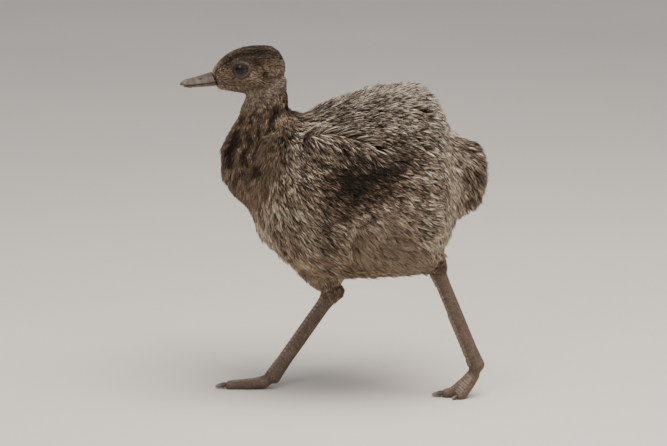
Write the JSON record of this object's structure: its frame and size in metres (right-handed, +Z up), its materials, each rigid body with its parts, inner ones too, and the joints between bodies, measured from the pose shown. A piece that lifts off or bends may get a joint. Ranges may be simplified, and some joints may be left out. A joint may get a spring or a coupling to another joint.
{
  "type": "ostrich chick",
  "caption": "Downy ostrich chick in mid stride, life-size: ball-shaped body, folded neck, flat bill, stubby wings, drooping tail and bare scaled shanks.",
  "frame": {"origin": "on the floor, under the middle of the whole chick's box", "axes": "+Z up, the chick walks and faces towards -X, its left side faces -Y, its right side +Y"},
  "size_m": [0.2584, 0.1416, 0.3008],
  "materials": {
    "down": "matt down: buff, cream and near-black straw-like tips over brown",
    "neck_down": "short golden-buff down with broken dark lines",
    "bare_skin": "scaled bare skin, matt",
    "horn": "satin horn",
    "claw": "satin horn, darker",
    "eye": "wet gloss"
  },
  "bodies": {
    "root": {"bill_lower": "horn", "bill_upper": "horn", "claw_inner_left": "claw", "claw_inner_right": "claw", "claw_outer_left": "claw", "claw_outer_right": "claw", "eye_left": "eye", "eye_right": "eye", "head": "neck_down", "neck": "neck_down", "shank_left": "bare_skin", "shank_right": "bare_skin", "tail": "down", "thigh_left": "down", "thigh_right": "down", "toe_inner_left": "bare_skin", "toe_inner_right": "bare_skin", "toe_outer_left": "bare_skin", "toe_outer_right": "bare_skin", "trunk": "down", "wing_left": "down", "wing_right": "down"}
  },
  "joints": []
}
